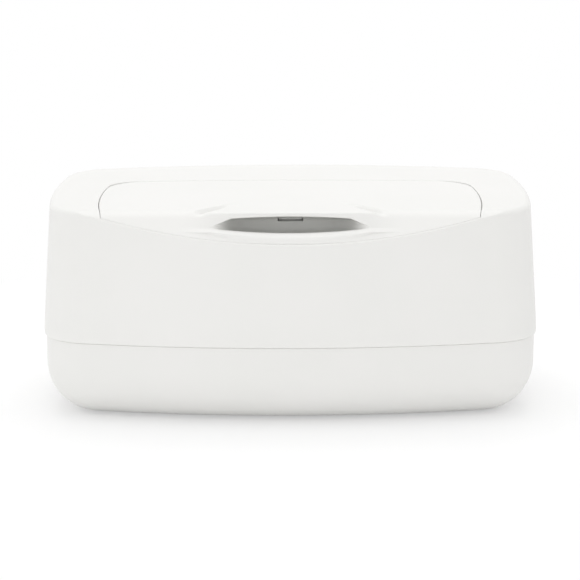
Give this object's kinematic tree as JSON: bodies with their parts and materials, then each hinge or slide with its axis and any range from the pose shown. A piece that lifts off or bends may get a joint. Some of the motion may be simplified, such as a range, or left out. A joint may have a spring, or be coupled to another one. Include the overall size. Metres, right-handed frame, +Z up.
{
  "type": "refillable baby wipes box",
  "caption": "White plastic wipes box: round-bottomed tub, lift-off cover with a smile-shaped front facet, hinged lid with a finger pocket, and a weight plate inside.",
  "frame": {"origin": "centre of the footprint, on the surface the feet stand on", "axes": "+X along the width to the right seen from the front, -Y to the front with the finger pocket, +Z up"},
  "size_m": [0.2444, 0.1404, 0.1076],
  "materials": {
    "white_polypropylene": "satin moulded",
    "pale_silicone": "matte",
    "foot_rubber": "matte",
    "steel": "bright"
  },
  "bodies": {
    "base": {"base_tub": "white_polypropylene", "weight_plate": "white_polypropylene", "plate_bar_front": "steel", "plate_bar_rear": "steel", "foot_front_left": "foot_rubber", "foot_front_right": "foot_rubber", "foot_rear_left": "foot_rubber", "foot_rear_right": "foot_rubber"},
    "cover": {"upper_cover": "white_polypropylene", "hinge_pin_left": "steel", "hinge_pin_right": "steel"},
    "lid": {"lid": "white_polypropylene", "lid_seal": "pale_silicone"}
  },
  "joints": [
    {"name": "cover_lift", "type": "slide", "parent": "base", "child": "cover", "axis": [0, 0, 1], "range_m": [0, 0.06]},
    {"name": "lid_hinge", "type": "hinge", "parent": "cover", "child": "lid", "pos_m": [0, 0.002, 0.1002], "axis": [-1, 0, 0], "range_deg": [0, 100]}
  ]
}
